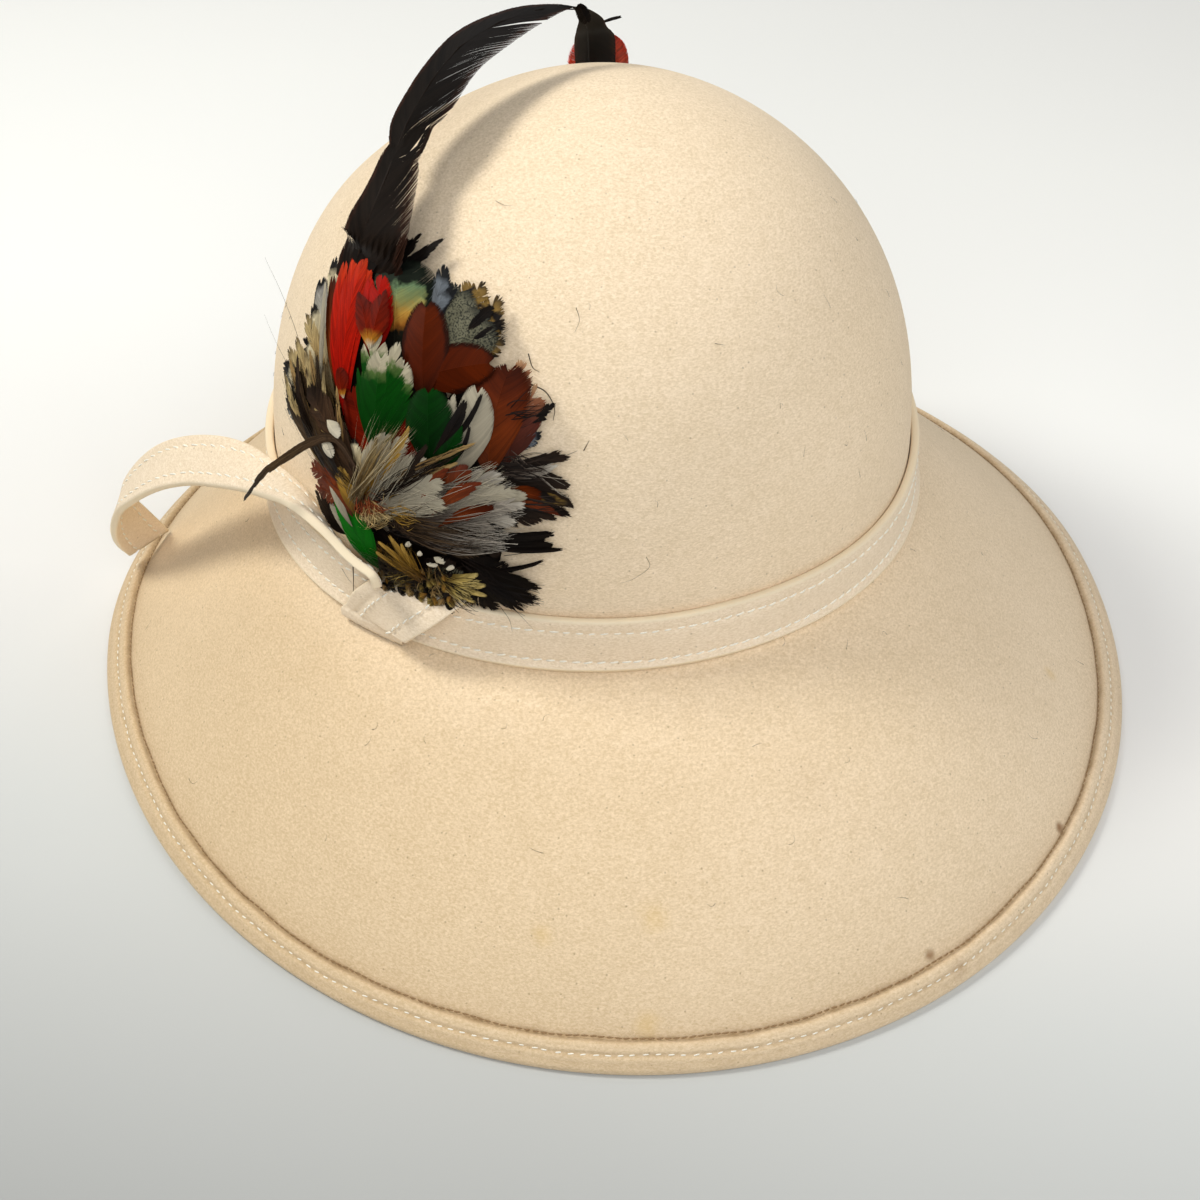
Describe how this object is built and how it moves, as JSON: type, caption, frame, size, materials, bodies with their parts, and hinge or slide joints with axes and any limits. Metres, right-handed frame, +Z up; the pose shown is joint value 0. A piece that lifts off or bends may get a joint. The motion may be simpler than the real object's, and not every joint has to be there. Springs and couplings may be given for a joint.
{
  "type": "wide-brim felt hat",
  "caption": "Wide-brim felt hat: round uncreased crown, drooping bell brim with a turned-up stitched edge, felt band with keeper and long free tail, feather mount and arching plume.",
  "frame": {"origin": "on the resting surface, under the middle of the hat's bounding box", "axes": "+Z up through the crown, -Y to the front of the hat, +X to the viewer's right as the front is looked at"},
  "size_m": [0.3048, 0.326, 0.1831],
  "materials": {
    "felt": "matt napped wool felt",
    "band_felt": "matt wool felt strip, stitched",
    "mixed_feathers": "small mixed and dyed feathers",
    "black_feather": "soft sheen",
    "red_feather": "dyed, loose barbs"
  },
  "bodies": {
    "root": {"felt_body": "felt", "hat_band": "band_felt", "band_keeper": "band_felt", "band_tail": "band_felt", "feather_mount": "mixed_feathers", "plume": "black_feather", "red_hackle": "red_feather"}
  },
  "joints": []
}
